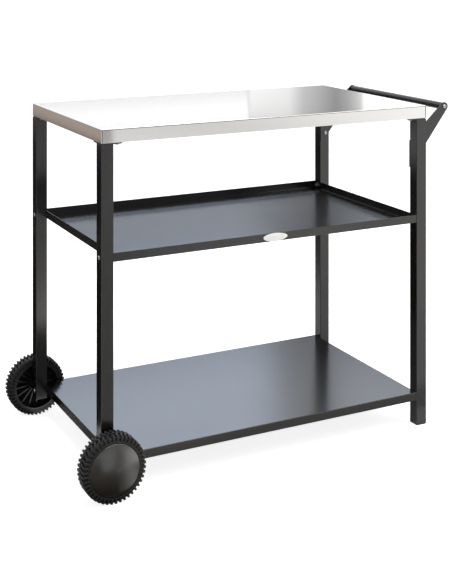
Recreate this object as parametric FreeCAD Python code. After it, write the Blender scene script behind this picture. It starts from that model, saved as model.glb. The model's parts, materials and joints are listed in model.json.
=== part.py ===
"""Outdoor pizza oven table: a three-tier steel cart with a stainless worktop, a tray, a lower shelf,
two lugged wheels under the left legs, two feet under the right legs and a push handle on the right.

Millimetres, +Z up. +X runs from the wheels to the handle and +Y from the front to the back.
The origin is on the ground, under the centre of the whole table's box.
"""
import FreeCAD, Part

import math
import os

os.makedirs("parts", exist_ok=True)

# Driving sizes of the table
TOP_LENGTH = 900.0
TOP_WIDTH = 500.0
TOP_HEIGHT = 826.0
SKIRT = 32.0
LIP = 20.0
TOP_SHEET = 1.0
TOP_BEND = 2.0
SEAM = 0.6
SEAM_INSET = 2.2
STIFFENERS = ("left", "middle", "right")
STIFFENER_PITCH = 220.0
STIFFENER_SHEET = 1.2
STIFFENER_DEPTH = 17.0
STIFFENER_CROWN = 20.0
STIFFENER_FLANGE = 34.0
STIFFENER_END_GAP = 2.0

LEG = 30.0
LEG_WALL = 1.5
LEG_CORNER = 1.0
LEG_BORE_CORNER = 0.3
LEFT_LEG_END = 57.0
LEFT_PLUG = 2.0
FOOT = 4.0
LEFT_STEM = 9.0
FOOT_STEM = 20.0
STEM_WALL = 3.0
PLATE = 52.0
PLATE_INSET = 1.0
PLATE_THICKNESS = 3.0
PLATE_CORNER = 3.0

PAN_HEIGHT = 20.5
PAN_SHEET = 1.2
TRAY_BEND = 2.0
SHELF_BEND = 1.4
TRAY_UNDERSIDE = 524.5
SHELF_TOP = 86.5
TRAY_BOLT_HEIGHT = 534.5
SHELF_BOLT_HEIGHT = 74.5

BADGE_LENGTH = 66.0
BADGE_HEIGHT = 19.6
BADGE_THICKNESS = 1.4

# Push handle: the bar's axis is this far past the worktop's right end, and this high
HANDLE_REACH = 82.0
HANDLE_HEIGHT = 815.0
BAR_RADIUS = 9.5
BAR_WALL = 1.5
BAR_INSERT = 22.0
ARM_THICKNESS = 3.0
ARM_TIP_RADIUS = 11.0
ARM_CORNER = 3.0
ARM_CUT_TOP = 731.8
ARM_CUT_FOOT = 656.7
ARM_BOLT_HEIGHTS = (690.0, 720.0)

# Wheels: distances along the axle start at the leg's outer face
WHEEL_RADIUS = 76.0
TYRE_INSIDE = 5.0
TYRE_OUTSIDE = 48.0
TYRE_SEAT = 60.0
CARCASS_RADIUS = 72.3
SIDEWALL_RING = 63.5
LUGS_PER_ROW = 44
LUG_HALF_WIDTH = 2.9
LUG_SLANT = 3.6
LUG_BEND = 12.0
LUG_DEPTH = 3.0
CARCASS_SHOULDER = 4.0
LUG_SHOULDER = 4.5
RIM_INSIDE = 6.0
RIM_INNER_RADIUS = 56.5
HUB_INSIDE = 8.0
HUB_RADIUS = 13.0
DISC = (42.0, 45.0)
RIBS = 16
RIB_THICKNESS = 2.4
RIB_INSIDE = 25.0
RIB_TURN = 5.0
CAP_RADIUS = 58.5
CAP_EDGE = 48.4
CAP_RISE = 6.6
CAP_WALL = 2.0
BUSH_RADIUS = 7.5
BUSH_FLANGE_RADIUS = 11.0
BUSH_FLANGE = 1.5
AXLE_RADIUS = 5.0
AXLE_HEAD = 4.6
AXLE_HEAD_FLATS = 16.0
AXLE_THREAD = 9.4
AXLE_WASHER = 1.6
AXLE_WASHER_RADIUS = 10.0
AXLE_SPACER_RADIUS = 9.0
RUNNING_GAP = 0.06
END_GAP = 0.3

# Fasteners: M6 throughout, and an M10 axle bolt
M6 = 3.0
M6_HEAD_RADIUS = 5.25
M6_HEAD_HEIGHT = 3.3
M6_LOW_HEAD_HEIGHT = 2.0
M6_BARREL = 4.5
M6_BULGE = 5.6
M6_NUT_DEPTH = 12.0
M10 = 5.0
M10_BARREL = 6.5
M10_BULGE = 8.0
M10_NUT_DEPTH = 9.6
THREAD_GAP = 0.05
HOLE_GAP = 0.25

# Screws up through each leg plate: their distances from the worktop's outer edges
PLATE_SCREWS = ((43.0, 11.0), (11.0, 43.0))

# How far each M6 screw goes in past the plate, wall or arm under its head
PAN_SCREW_REACH = 7.0
PLATE_SCREW_REACH = 9.0
BAR_SCREW_REACH = 14.0
ARM_SCREW_REACH = 10.0

# Places worked out from the sizes above
AXLE_HEIGHT = WHEEL_RADIUS
LEG_CENTRE = LEG / 2
OVERALL_LEFT = LEG_CENTRE - WHEEL_RADIUS
OVERALL_RIGHT = TOP_LENGTH + HANDLE_REACH + ARM_TIP_RADIUS
LEFT = -(OVERALL_LEFT + OVERALL_RIGHT) / 2
RIGHT = LEFT + TOP_LENGTH
FRONT = -TOP_WIDTH / 2
BACK = TOP_WIDTH / 2
MIDDLE = (LEFT + RIGHT) / 2
SKIRT_FOOT = TOP_HEIGHT - SKIRT
LEG_TOP = SKIRT_FOOT - PLATE_THICKNESS
TYRE_MIDDLE = (TYRE_INSIDE + TYRE_OUTSIDE) / 2
BAR_END = FRONT + LEG + ARM_THICKNESS

V = FreeCAD.Vector
X_AXIS = V(1, 0, 0)
Y_AXIS = V(0, 1, 0)
Z_AXIS = V(0, 0, 1)
SIDES = ("front", "back")
ENDS = ("left", "right")
CORNERS = [(end, side) for end in ENDS for side in SIDES]


def block(x, y, z):
    """A box between the low and high values of each pair."""
    return Part.makeBox(x[1] - x[0], y[1] - y[0], z[1] - z[0], V(x[0], y[0], z[0]))


def rod(radius, start, end):
    """A round bar between two points."""
    return Part.makeCylinder(radius, (end - start).Length, start, end - start)


def edges_along(shape, axis):
    """The straight edges of a shape that run along an axis."""
    found = []
    for edge in shape.Edges:
        run = edge.Vertexes[-1].Point - edge.Vertexes[0].Point
        if run.Length > 0 and abs(run.normalize().dot(axis)) > 0.999:
            found.append(edge)
    return found


def edges_at_height(shape, height):
    """The edges of a shape that lie wholly at one height."""
    return [edge for edge in shape.Edges
            if all(abs(vertex.Z - height) < 1e-6 for vertex in edge.Vertexes)]


def rounded_block(x, y, z, radius):
    """A box with its four upright edges rounded."""
    plain = block(x, y, z)
    return plain.makeFillet(radius, edges_along(plain, Z_AXIS))


def prism(points, run):
    """A straight prism on a closed outline of corner points."""
    outline = Part.makePolygon([V(*point) for point in points] + [V(*points[0])])
    return Part.Face(outline).extrude(run)


def hexagon(across_flats, low, high):
    """A hexagonal prism standing on the Z axis."""
    radius = across_flats / math.sqrt(3)
    corners = [(radius * math.cos(math.radians(60 * i)), radius * math.sin(math.radians(60 * i)), low)
               for i in range(6)]
    return prism(corners, V(0, 0, high - low))


def turned(profile):
    """A solid turned about the Z axis from (radius, height) points."""
    points = [V(radius, 0, height) for radius, height in profile]
    return Part.Face(Part.makePolygon(points + points[:1])).revolve(V(), Z_AXIS, 360)


def pointing(shape, origin, direction):
    """Moves a shape that stands on the Z axis to an origin, with its Z axis along a direction."""
    moved = shape.copy()
    turn = FreeCAD.Placement(origin, FreeCAD.Rotation(Z_AXIS, direction))
    moved.Placement = turn.multiply(moved.Placement)
    return moved


def at_corner(shape, end, side):
    """Moves a shape made for a corner with its outer edge at 0, 0 to the named corner of the table."""
    moved = shape.copy()
    if end == "right":
        moved = moved.mirror(V(), X_AXIS)
    if side == "back":
        moved = moved.mirror(V(), Y_AXIS)
    moved.translate(V(LEFT if end == "left" else RIGHT, FRONT if side == "front" else BACK, 0))
    return moved


def at_wheel(shape, side):
    """Moves a shape made on the Z axis, leg face at 0, to the axle of the front or back wheel."""
    moved = pointing(shape, V(LEFT + LEG_CENTRE, FRONT, AXLE_HEIGHT), -Y_AXIS)
    return moved if side == "front" else moved.mirror(V(), Y_AXIS)


def save(node, *solids):
    """Writes one node as a STEP file, and stops if a piece of it isn't one sound solid."""
    for solid in solids:
        if not solid.isValid() or len(solid.Solids) != 1 or solid.Volume <= 0:
            raise ValueError(node + " holds a piece that isn't one sound solid")
    pieces = [solid.Solids[0] for solid in solids]
    shape = pieces[0] if len(pieces) == 1 else Part.makeCompound(pieces)
    shape.exportStep("parts/" + node + ".step")
    box = shape.BoundBox
    print("%-28s %2d  x %7.1f %7.1f  y %7.1f %7.1f  z %6.1f %6.1f  %9.0f mm3" % (
        node, len(pieces), box.XMin, box.XMax, box.YMin, box.YMax, box.ZMin, box.ZMax, shape.Volume))


def button_screw(radius, length, head_radius, head_height):
    """A button-head screw: its head stands on height 0 and its shank hangs below."""
    head = Part.makeCylinder(head_radius, head_height)
    head = head.makeFillet(head_height * 0.7, edges_at_height(head, head_height))
    socket = hexagon(head_radius * 0.76, head_height * 0.4, head_height + 1)
    shank = Part.makeCylinder(radius, length, V(0, 0, -length))
    shank = shank.makeChamfer(radius * 0.2, edges_at_height(shank, -length))
    return head.cut(socket).fuse(shank).removeSplitter()


def m6_screw(length, head_height=M6_HEAD_HEIGHT):
    return button_screw(M6, length, M6_HEAD_RADIUS, head_height)


def m6_flange_nut():
    """A flanged lock nut that stands on height 0."""
    body = Part.makeCylinder(6.7, 1.3).fuse(hexagon(10.0, 1.3, 5.0)).fuse(Part.makeCylinder(4.3, 6.2))
    return body.cut(Part.makeCylinder(M6 + THREAD_GAP, 20, V(0, 0, -5))).removeSplitter()


def rivet_nut(thread, barrel, bulge, wall, depth):
    """A blind rivet nut set flush in a wall: mouth at height 0, body below, pinched behind the wall."""
    body = Part.makeCylinder(barrel, depth, V(0, 0, -depth))
    body = body.fuse(Part.makeCylinder(bulge, 3.0, V(0, 0, -wall - 3.0)))
    bore = Part.makeCylinder(thread + THREAD_GAP, depth + 2, V(0, 0, -depth - 1))
    return body.cut(bore).removeSplitter()


def m6_rivet_nut(wall):
    return rivet_nut(M6, M6_BARREL, M6_BULGE, wall, M6_NUT_DEPTH)


def leg(end):
    """A square tube leg with its bolt holes. The left ones stop short, because they stand on wheels."""
    foot = LEFT_LEG_END if end == "left" else FOOT
    bore = LEG - LEG_WALL
    tube = rounded_block((0, LEG), (0, LEG), (foot, LEG_TOP), LEG_CORNER)
    tube = tube.cut(rounded_block((LEG_WALL, bore), (LEG_WALL, bore), (foot - 1, LEG_TOP + 1),
                                  LEG_BORE_CORNER))
    for height in (SHELF_BOLT_HEIGHT, TRAY_BOLT_HEIGHT):
        tube = tube.cut(rod(M6 + HOLE_GAP, V(-1, LEG_CENTRE, height), V(LEG + 1, LEG_CENTRE, height)))
    if end == "left":
        return tube.cut(rod(M10_BARREL + THREAD_GAP, V(LEG_CENTRE, -1, AXLE_HEIGHT),
                            V(LEG_CENTRE, LEG_WALL + 1, AXLE_HEIGHT)))
    for height in ARM_BOLT_HEIGHTS:
        tube = tube.cut(rod(M6_BARREL + THREAD_GAP, V(LEG_CENTRE, bore - 1, height),
                            V(LEG_CENTRE, LEG + 1, height)))
    return tube


def leg_plug(flange_low, flange_high, stem_top):
    """A moulded end for a leg: a flange under the tube, and a hollow stem pushed up inside it."""
    flange = rounded_block((0.2, LEG - 0.2), (0.2, LEG - 0.2), (flange_low, flange_high), LEG_CORNER)
    flange = flange.makeFillet(min(1.2, (flange_high - flange_low) * 0.6),
                               edges_at_height(flange, flange_low))
    near, far = LEG_WALL + THREAD_GAP, LEG - LEG_WALL - THREAD_GAP
    stem = rounded_block((near, far), (near, far), (flange_high, stem_top), LEG_BORE_CORNER)
    hollow = block((near + STEM_WALL, far - STEM_WALL), (near + STEM_WALL, far - STEM_WALL),
                   (flange_high, stem_top + 1))
    return flange.fuse(stem.cut(hollow)).removeSplitter()


def leg_plate():
    """The flat plate on a leg's top, which carries the worktop."""
    span = (PLATE_INSET, PLATE_INSET + PLATE)
    plate = rounded_block(span, span, (LEG_TOP, SKIRT_FOOT), PLATE_CORNER)
    for x, y in PLATE_SCREWS:
        plate = plate.cut(rod(M6 + HOLE_GAP, V(x, y, LEG_TOP - 1), V(x, y, SKIRT_FOOT + 1)))
    return plate


def worktop():
    """The stainless pan: flat top, folded skirt with a seam by each corner, and a lip turned in below."""
    outer = block((LEFT, RIGHT), (FRONT, BACK), (SKIRT_FOOT, TOP_HEIGHT))
    outer = outer.makeFillet(TOP_BEND, edges_along(outer, Z_AXIS) + edges_at_height(outer, TOP_HEIGHT))
    inner = block((LEFT + TOP_SHEET, RIGHT - TOP_SHEET), (FRONT + TOP_SHEET, BACK - TOP_SHEET),
                  (SKIRT_FOOT + TOP_SHEET, TOP_HEIGHT - TOP_SHEET))
    inner = inner.makeFillet(TOP_BEND - TOP_SHEET, edges_along(inner, Z_AXIS)
                             + edges_at_height(inner, TOP_HEIGHT - TOP_SHEET))
    mouth = block((LEFT + LIP, RIGHT - LIP), (FRONT + LIP, BACK - LIP),
                  (SKIRT_FOOT - 1, SKIRT_FOOT + 2 * TOP_SHEET))
    pan = outer.cut([inner, mouth])
    cuts = []
    for end, side in CORNERS:
        seam_span = (SEAM_INSET, SEAM_INSET + SEAM)
        seam = block(seam_span, (-1, SEAM * 0.8), (SKIRT_FOOT - 1, TOP_HEIGHT - TOP_BEND))
        cuts.append(at_corner(seam, end, side))
        for x, y in PLATE_SCREWS:
            hole = rod(M6_BARREL + THREAD_GAP, V(x, y, SKIRT_FOOT - 1), V(x, y, SKIRT_FOOT + 3))
            cuts.append(at_corner(hole, end, side))
    return pan.cut(cuts)


def stiffener(index):
    """A hat channel under the worktop, front to back."""
    top = TOP_HEIGHT - TOP_SHEET
    bottom = top - STIFFENER_DEPTH
    outer = [(STIFFENER_FLANGE, top), (STIFFENER_FLANGE, top - STIFFENER_SHEET),
             (STIFFENER_CROWN, top - STIFFENER_SHEET), (STIFFENER_CROWN, bottom)]
    inner = [(STIFFENER_CROWN - STIFFENER_SHEET, bottom + STIFFENER_SHEET),
             (STIFFENER_CROWN - STIFFENER_SHEET, top)]
    half = outer + [(-x, z) for x, z in reversed(outer)]
    cavity = inner + [(-x, z) for x, z in reversed(inner)]
    centre = MIDDLE + (index - 1) * STIFFENER_PITCH
    start = FRONT + TOP_SHEET + STIFFENER_END_GAP
    run = V(0, -2 * start, 0)
    hat = prism([(centre + x, start, z) for x, z in half], run)
    return hat.cut(prism([(centre + x, start, z) for x, z in cavity], run))


def pan(underside, bolt_height, opens_up, bend):
    """A folded pan between the legs, as wide as the table: the tray opens up and the shelf opens down."""
    low, high = underside, underside + PAN_HEIGHT
    closed = low if opens_up else high
    x = (LEFT + LEG, RIGHT - LEG)
    outer = block(x, (FRONT, BACK), (low, high))
    outer = outer.makeFillet(bend, edges_along(outer, Z_AXIS) + edges_at_height(outer, closed))
    depth = (low + PAN_SHEET, high) if opens_up else (low, high - PAN_SHEET)
    inner = block((x[0] + PAN_SHEET, x[1] - PAN_SHEET), (FRONT + PAN_SHEET, BACK - PAN_SHEET), depth)
    floor = depth[0] if opens_up else depth[1]
    inner = inner.makeFillet(bend - PAN_SHEET,
                             edges_along(inner, Z_AXIS) + edges_at_height(inner, floor))
    shell = outer.cut(inner)
    for end, side in CORNERS:
        hole = rod(M6 + HOLE_GAP, V(LEG - 1, LEG_CENTRE, bolt_height), V(LEG + 3, LEG_CENTRE, bolt_height))
        shell = shell.cut(at_corner(hole, end, side))
    return shell


def tray():
    """The tray's folded floor and ends, and the walls welded along its front and back."""
    whole = pan(TRAY_UNDERSIDE, TRAY_BOLT_HEIGHT, True, TRAY_BEND)
    front = block((LEFT, RIGHT), (FRONT, FRONT + PAN_SHEET), (TRAY_UNDERSIDE, TRAY_UNDERSIDE + PAN_HEIGHT))
    back = front.mirror(V(), Y_AXIS)
    return whole.cut([front, back]), whole.common(front), whole.common(back)


def badge():
    """A bare domed oval on the middle of the tray's front wall."""
    centre = V(MIDDLE, FRONT, TRAY_UNDERSIDE + PAN_HEIGHT / 2)
    ellipse = Part.Ellipse(V(), BADGE_LENGTH / 2, BADGE_HEIGHT / 2)
    plate = Part.Face(Part.Wire(ellipse.toShape())).extrude(V(0, 0, BADGE_THICKNESS))
    plate = plate.makeFillet(BADGE_THICKNESS * 0.6, edges_at_height(plate, BADGE_THICKNESS))
    plate.rotate(V(), X_AXIS, 90)
    plate.translate(centre)
    return plate


def tangent_point(start, centre, radius, turn):
    """Where a line from start touches a circle: turn is 1 for its left side and -1 for its right."""
    reach = math.hypot(centre[0] - start[0], centre[1] - start[1])
    angle = math.atan2(centre[1] - start[1], centre[0] - start[0]) + turn * math.asin(radius / reach)
    length = math.sqrt(reach ** 2 - radius ** 2)
    return start[0] + length * math.cos(angle), start[1] + length * math.sin(angle)


def handle_arm():
    """A tapered flat arm on a right leg's inner side, cut off at the leg's edge, round at its tip."""
    tip = (RIGHT + HANDLE_REACH, HANDLE_HEIGHT)
    upper = (RIGHT - LEG, ARM_CUT_TOP)
    lower = (RIGHT - LEG, ARM_CUT_FOOT)
    y = FRONT + LEG
    upper_end = tangent_point(upper, tip, ARM_TIP_RADIUS, 1)
    lower_end = tangent_point(lower, tip, ARM_TIP_RADIUS, -1)
    nose_angle = (math.atan2(upper_end[1] - tip[1], upper_end[0] - tip[0])
                  + math.atan2(lower_end[1] - tip[1], lower_end[0] - tip[0])) / 2
    nose = (tip[0] + ARM_TIP_RADIUS * math.cos(nose_angle), tip[1] + ARM_TIP_RADIUS * math.sin(nose_angle))
    corner = [V(x, y, z) for x, z in (lower_end, lower, upper, upper_end)]
    edges = [Part.LineSegment(a, b).toShape() for a, b in zip(corner, corner[1:])]
    edges.append(Part.Arc(corner[3], V(nose[0], y, nose[1]), corner[0]).toShape())
    arm = Part.Face(Part.Wire(edges)).extrude(V(0, ARM_THICKNESS, 0))
    square_corners = [edge for edge in edges_along(arm, Y_AXIS)
                      if abs(edge.Vertexes[0].X - upper[0]) < 1e-6]
    arm = arm.makeFillet(ARM_CORNER, square_corners)
    for height in ARM_BOLT_HEIGHTS:
        x = RIGHT - LEG_CENTRE
        arm = arm.cut(rod(M6 + HOLE_GAP, V(x, y - 1, height), V(x, y + ARM_THICKNESS + 1, height)))
    return arm.cut(rod(M6 + HOLE_GAP, V(tip[0], y - 1, tip[1]), V(tip[0], y + ARM_THICKNESS + 1, tip[1])))


def handle_bar():
    """The round push bar between the arms."""
    start = V(RIGHT + HANDLE_REACH, BAR_END, HANDLE_HEIGHT)
    end = V(RIGHT + HANDLE_REACH, -BAR_END, HANDLE_HEIGHT)
    return rod(BAR_RADIUS, start, end).cut(rod(BAR_RADIUS - BAR_WALL, start, end))


def bar_insert():
    """The threaded slug pressed into an end of the bar."""
    start = V(RIGHT + HANDLE_REACH, BAR_END, HANDLE_HEIGHT)
    end = start + V(0, BAR_INSERT, 0)
    slug = rod(BAR_RADIUS - BAR_WALL - THREAD_GAP, start, end)
    return slug.cut(rod(M6 + THREAD_GAP, start - V(0, 1, 0), end + V(0, 1, 0)))


def tyre_profile(radius, ring, side, shoulder, set_in):
    """Half of a tyre's outline, from its seat out to the crown and back, mirrored about its middle."""
    outside = TYRE_OUTSIDE - TYRE_MIDDLE
    half = [(TYRE_SEAT, outside), (ring, outside), (ring + set_in, side), (radius - shoulder, side)]
    for step in range(1, 5):
        angle = math.radians(90 * step / 4)
        half.append((radius - shoulder + shoulder * math.sin(angle),
                     side - shoulder + shoulder * math.cos(angle)))
    return half


def tyre():
    """A solid tyre with two staggered rows of bent lugs over its crown and down its shoulders."""
    outside = TYRE_OUTSIDE - TYRE_MIDDLE
    carcass_half = tyre_profile(CARCASS_RADIUS, SIDEWALL_RING, outside - LUG_DEPTH, CARCASS_SHOULDER, 1.2)
    envelope_half = tyre_profile(WHEEL_RADIUS, SIDEWALL_RING, outside, LUG_SHOULDER, 0.1)
    bodies = []
    for half in (carcass_half, envelope_half):
        outline = half + [(radius, -out) for radius, out in reversed(half)]
        bodies.append(turned(outline))
    carcass, envelope = bodies
    envelope = envelope.cut(Part.makeCylinder(SIDEWALL_RING + 0.1, 100, V(0, 0, -50)))
    spread = [(-LUG_HALF_WIDTH, -0.5), (LUG_SLANT - LUG_HALF_WIDTH, LUG_BEND),
              (LUG_SLANT - LUG_HALF_WIDTH, outside + 1), (LUG_SLANT + LUG_HALF_WIDTH, outside + 1),
              (LUG_SLANT + LUG_HALF_WIDTH, LUG_BEND), (LUG_HALF_WIDTH, -0.5)]
    lugs = []
    for row, turn in ((1, 0.0), (-1, 0.5)):
        bar = prism([(SIDEWALL_RING - 2, across, row * out) for across, out in spread], V(20, 0, 0))
        lug = bar.common(envelope)
        for i in range(LUGS_PER_ROW):
            turned_lug = lug.copy()
            turned_lug.rotate(V(), Z_AXIS, 360 * (i + turn) / LUGS_PER_ROW)
            lugs.append(turned_lug)
    whole = carcass.fuse(lugs)
    whole.translate(V(0, 0, TYRE_MIDDLE))
    return whole


def wheel_hub():
    """The moulded wheel: rim, outer disc, centre boss, and thin ribs that fan out behind the disc."""
    rim = turned([(RIM_INNER_RADIUS, RIM_INSIDE), (TYRE_SEAT, RIM_INSIDE), (TYRE_SEAT, DISC[1]),
                  (RIM_INNER_RADIUS, DISC[1])])
    disc = Part.makeCylinder(RIM_INNER_RADIUS + 1, DISC[1] - DISC[0], V(0, 0, DISC[0]))
    boss = Part.makeCylinder(HUB_RADIUS, DISC[1] - HUB_INSIDE, V(0, 0, HUB_INSIDE))
    shape = rim.fuse([disc, boss])
    ribs = []
    for i in range(RIBS):
        rib = block((HUB_RADIUS - 1, RIM_INNER_RADIUS + 0.5), (-RIB_THICKNESS / 2, RIB_THICKNESS / 2),
                    (RIB_INSIDE, DISC[0] + 0.5))
        rib.rotate(V(), Z_AXIS, RIB_TURN + 360 * i / RIBS)
        ribs.append(rib)
    shape = shape.fuse(ribs)
    return shape.cut(Part.makeCylinder(BUSH_RADIUS + THREAD_GAP, 80, V(0, 0, -10))).removeSplitter()


def bush():
    """The flanged nylon sleeve that the wheel turns on."""
    sleeve = Part.makeCylinder(BUSH_RADIUS, DISC[1] - HUB_INSIDE, V(0, 0, HUB_INSIDE))
    flange = Part.makeCylinder(BUSH_FLANGE_RADIUS, BUSH_FLANGE, V(0, 0, HUB_INSIDE - BUSH_FLANGE))
    bore = Part.makeCylinder(AXLE_RADIUS + RUNNING_GAP, 80, V(0, 0, -10))
    return sleeve.fuse(flange).cut(bore).removeSplitter()


def hub_cap():
    """A plain domed cap over the whole disc, standing on the rim."""
    def dome(radius, low, rise):
        sphere_radius = (radius ** 2 + rise ** 2) / (2 * rise)
        ball = Part.makeSphere(sphere_radius, V(0, 0, low + rise - sphere_radius))
        return ball.common(Part.makeCylinder(radius, rise + 1, V(0, 0, low)))
    edge = Part.makeCylinder(CAP_RADIUS, CAP_EDGE - DISC[1], V(0, 0, DISC[1]))
    shell = edge.fuse(dome(CAP_RADIUS, CAP_EDGE, CAP_RISE)).removeSplitter()
    hollow = Part.makeCylinder(CAP_RADIUS - CAP_WALL, CAP_EDGE - DISC[1] - CAP_WALL + 1,
                               V(0, 0, DISC[1] - 1))
    hollow = hollow.fuse(dome(CAP_RADIUS - CAP_WALL, CAP_EDGE - CAP_WALL, CAP_RISE)).removeSplitter()
    return shell.cut(hollow)


def axle_bolt():
    """The bolt a wheel turns on: a hexagon head under the cap, and a thread into the leg."""
    head_low = DISC[1] + END_GAP + AXLE_WASHER
    head = hexagon(AXLE_HEAD_FLATS, head_low, head_low + AXLE_HEAD)
    shank = Part.makeCylinder(AXLE_RADIUS, head_low + AXLE_THREAD, V(0, 0, -AXLE_THREAD))
    return head.fuse(shank).removeSplitter()


def washer(low, high, outer):
    """A flat ring round the axle bolt."""
    ring = Part.makeCylinder(outer, high - low, V(0, 0, low))
    return ring.cut(Part.makeCylinder(AXLE_RADIUS + THREAD_GAP, high - low + 2, V(0, 0, low - 1)))


def save_frame():
    """Worktop, legs, pans and what closes their ends."""
    save("worktop", worktop())
    for index, place in enumerate(STIFFENERS):
        save("worktop_stiffener_" + place, stiffener(index))
    for end, side in CORNERS:
        save("leg_" + side + "_" + end, at_corner(leg(end), end, side))
        save("leg_plate_" + side + "_" + end, at_corner(leg_plate(), end, side))
    for side in SIDES:
        plug = leg_plug(LEFT_LEG_END - LEFT_PLUG, LEFT_LEG_END, LEFT_LEG_END + LEFT_STEM)
        save("leg_plug_" + side + "_left", at_corner(plug, "left", side))
        save("foot_" + side + "_right", at_corner(leg_plug(0.0, FOOT, FOOT + FOOT_STEM), "right", side))
    for node, shape in zip(("mid_tray", "tray_wall_front", "tray_wall_back"), tray()):
        save(node, shape)
    save("lower_shelf", pan(SHELF_TOP - PAN_HEIGHT, SHELF_BOLT_HEIGHT, False, SHELF_BEND))
    save("badge_plate", badge())


def save_pan_fasteners():
    """Screws along X through each leg into the pans' end walls, with a lock nut behind each wall."""
    length = LEG + PAN_SHEET + PAN_SCREW_REACH
    for name, height in (("tray", TRAY_BOLT_HEIGHT), ("shelf", SHELF_BOLT_HEIGHT)):
        screw = m6_screw(length, M6_LOW_HEAD_HEIGHT)
        screw = pointing(screw, V(0, LEG_CENTRE, height), -X_AXIS)
        nut = pointing(m6_flange_nut(), V(LEG + PAN_SHEET, LEG_CENTRE, height), X_AXIS)
        save(name + "_screws", *[at_corner(screw, end, side) for end, side in CORNERS])
        save(name + "_lock_nuts", *[at_corner(nut, end, side) for end, side in CORNERS])


def save_worktop_fasteners():
    """Screws up through the leg plates into rivet nuts in the worktop's lip."""
    screws = []
    nuts = []
    for end, side in CORNERS:
        for x, y in PLATE_SCREWS:
            screw = pointing(m6_screw(PLATE_THICKNESS + PLATE_SCREW_REACH), V(x, y, LEG_TOP), -Z_AXIS)
            nut = pointing(m6_rivet_nut(TOP_SHEET), V(x, y, SKIRT_FOOT), -Z_AXIS)
            screws.append(at_corner(screw, end, side))
            nuts.append(at_corner(nut, end, side))
    save("worktop_screws", *screws)
    save("worktop_rivet_nuts", *nuts)


def save_handle():
    """Arms, bar, and what fastens them."""
    tip = V(RIGHT + HANDLE_REACH, FRONT + LEG, HANDLE_HEIGHT)
    screw = pointing(m6_screw(ARM_THICKNESS + BAR_SCREW_REACH), tip, -Y_AXIS)
    pieces = {"handle_arm": handle_arm(), "bar_insert": bar_insert()}
    for name, shape in pieces.items():
        save(name + "_front", shape)
        save(name + "_back", shape.mirror(V(), Y_AXIS))
    save("handle_bar", handle_bar())
    save("bar_screws", screw, screw.mirror(V(), Y_AXIS))
    screws = []
    nuts = []
    for side in SIDES:
        for height in ARM_BOLT_HEIGHTS:
            head = V(LEG_CENTRE, LEG + ARM_THICKNESS, height)
            mouth = V(LEG_CENTRE, LEG, height)
            screw = m6_screw(ARM_THICKNESS + ARM_SCREW_REACH)
            screws.append(at_corner(pointing(screw, head, Y_AXIS), "right", side))
            nuts.append(at_corner(pointing(m6_rivet_nut(LEG_WALL), mouth, Y_AXIS), "right", side))
    save("arm_screws", *screws)
    save("arm_rivet_nuts", *nuts)


def save_wheels():
    """Both wheels, and the axle pieces that stay with the legs."""
    turning = {"tyre": tyre(), "wheel_hub": wheel_hub(), "wheel_bush": bush(), "hub_cap": hub_cap()}
    washer_low = DISC[1] + END_GAP
    fixed = {"axle_bolt": axle_bolt(),
             "axle_spacer": washer(0.0, HUB_INSIDE - BUSH_FLANGE - END_GAP, AXLE_SPACER_RADIUS),
             "axle_washer": washer(washer_low, washer_low + AXLE_WASHER, AXLE_WASHER_RADIUS),
             "axle_rivet_nut": rivet_nut(M10, M10_BARREL, M10_BULGE, LEG_WALL, M10_NUT_DEPTH)}
    for side in SIDES:
        for name, shape in {**turning, **fixed}.items():
            save(name + "_" + side, at_wheel(shape, side))


save_frame()
save_pan_fasteners()
save_worktop_fasteners()
save_handle()
save_wheels()
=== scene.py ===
"""The looks of an outdoor pizza oven table, built round its fixed frame.

Metres, +Z up. +X runs from the wheels to the push handle and +Y from the front to the back.
"""
import json
import math

import bmesh
import bpy
from bpy.props import FloatProperty, FloatVectorProperty, IntProperty, PointerProperty
from mathutils import Matrix, Vector

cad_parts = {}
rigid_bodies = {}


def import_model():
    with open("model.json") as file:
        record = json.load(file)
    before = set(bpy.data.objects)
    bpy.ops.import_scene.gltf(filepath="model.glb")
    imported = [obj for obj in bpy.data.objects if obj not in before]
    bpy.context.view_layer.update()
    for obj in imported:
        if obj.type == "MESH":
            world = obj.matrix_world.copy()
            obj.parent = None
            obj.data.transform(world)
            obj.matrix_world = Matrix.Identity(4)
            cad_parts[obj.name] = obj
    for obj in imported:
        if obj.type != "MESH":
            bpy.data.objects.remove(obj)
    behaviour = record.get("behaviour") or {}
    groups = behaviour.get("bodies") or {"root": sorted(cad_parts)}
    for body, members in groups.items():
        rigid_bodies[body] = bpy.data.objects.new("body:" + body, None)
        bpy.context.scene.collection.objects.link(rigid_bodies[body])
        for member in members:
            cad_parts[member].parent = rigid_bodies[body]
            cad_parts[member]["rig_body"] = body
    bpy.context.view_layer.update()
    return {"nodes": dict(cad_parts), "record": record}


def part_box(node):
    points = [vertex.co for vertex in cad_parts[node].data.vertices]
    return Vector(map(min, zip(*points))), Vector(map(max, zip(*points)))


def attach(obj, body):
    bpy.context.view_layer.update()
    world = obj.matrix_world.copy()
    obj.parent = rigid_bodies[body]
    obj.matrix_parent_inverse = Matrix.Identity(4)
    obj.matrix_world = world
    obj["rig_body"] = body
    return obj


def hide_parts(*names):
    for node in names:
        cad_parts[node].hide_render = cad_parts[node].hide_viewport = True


bl_info = {
    "name": "Outdoor pizza oven table",
    "version": (1, 0, 0),
    "blender": (4, 5, 0),
    "location": "View3D > Sidebar > Oven table",
    "description": "Builds an oven table's worktop, tyres, hub caps, badge, finishes and studio",
    "category": "Object",
}

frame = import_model()
NODES = frame["nodes"]
MM = 0.001
SIDES = ("front", "back")
X_AXIS = Vector((1, 0, 0))
Z_AXIS = Vector((0, 0, 1))


def linear(hex_colour):
    """An sRGB hex colour as linear red, green and blue."""
    channels = [int(hex_colour[i:i + 2], 16) / 255 for i in (0, 2, 4)]
    return [c / 12.92 if c <= 0.04045 else ((c + 0.055) / 1.055) ** 2.4 for c in channels]


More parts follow.
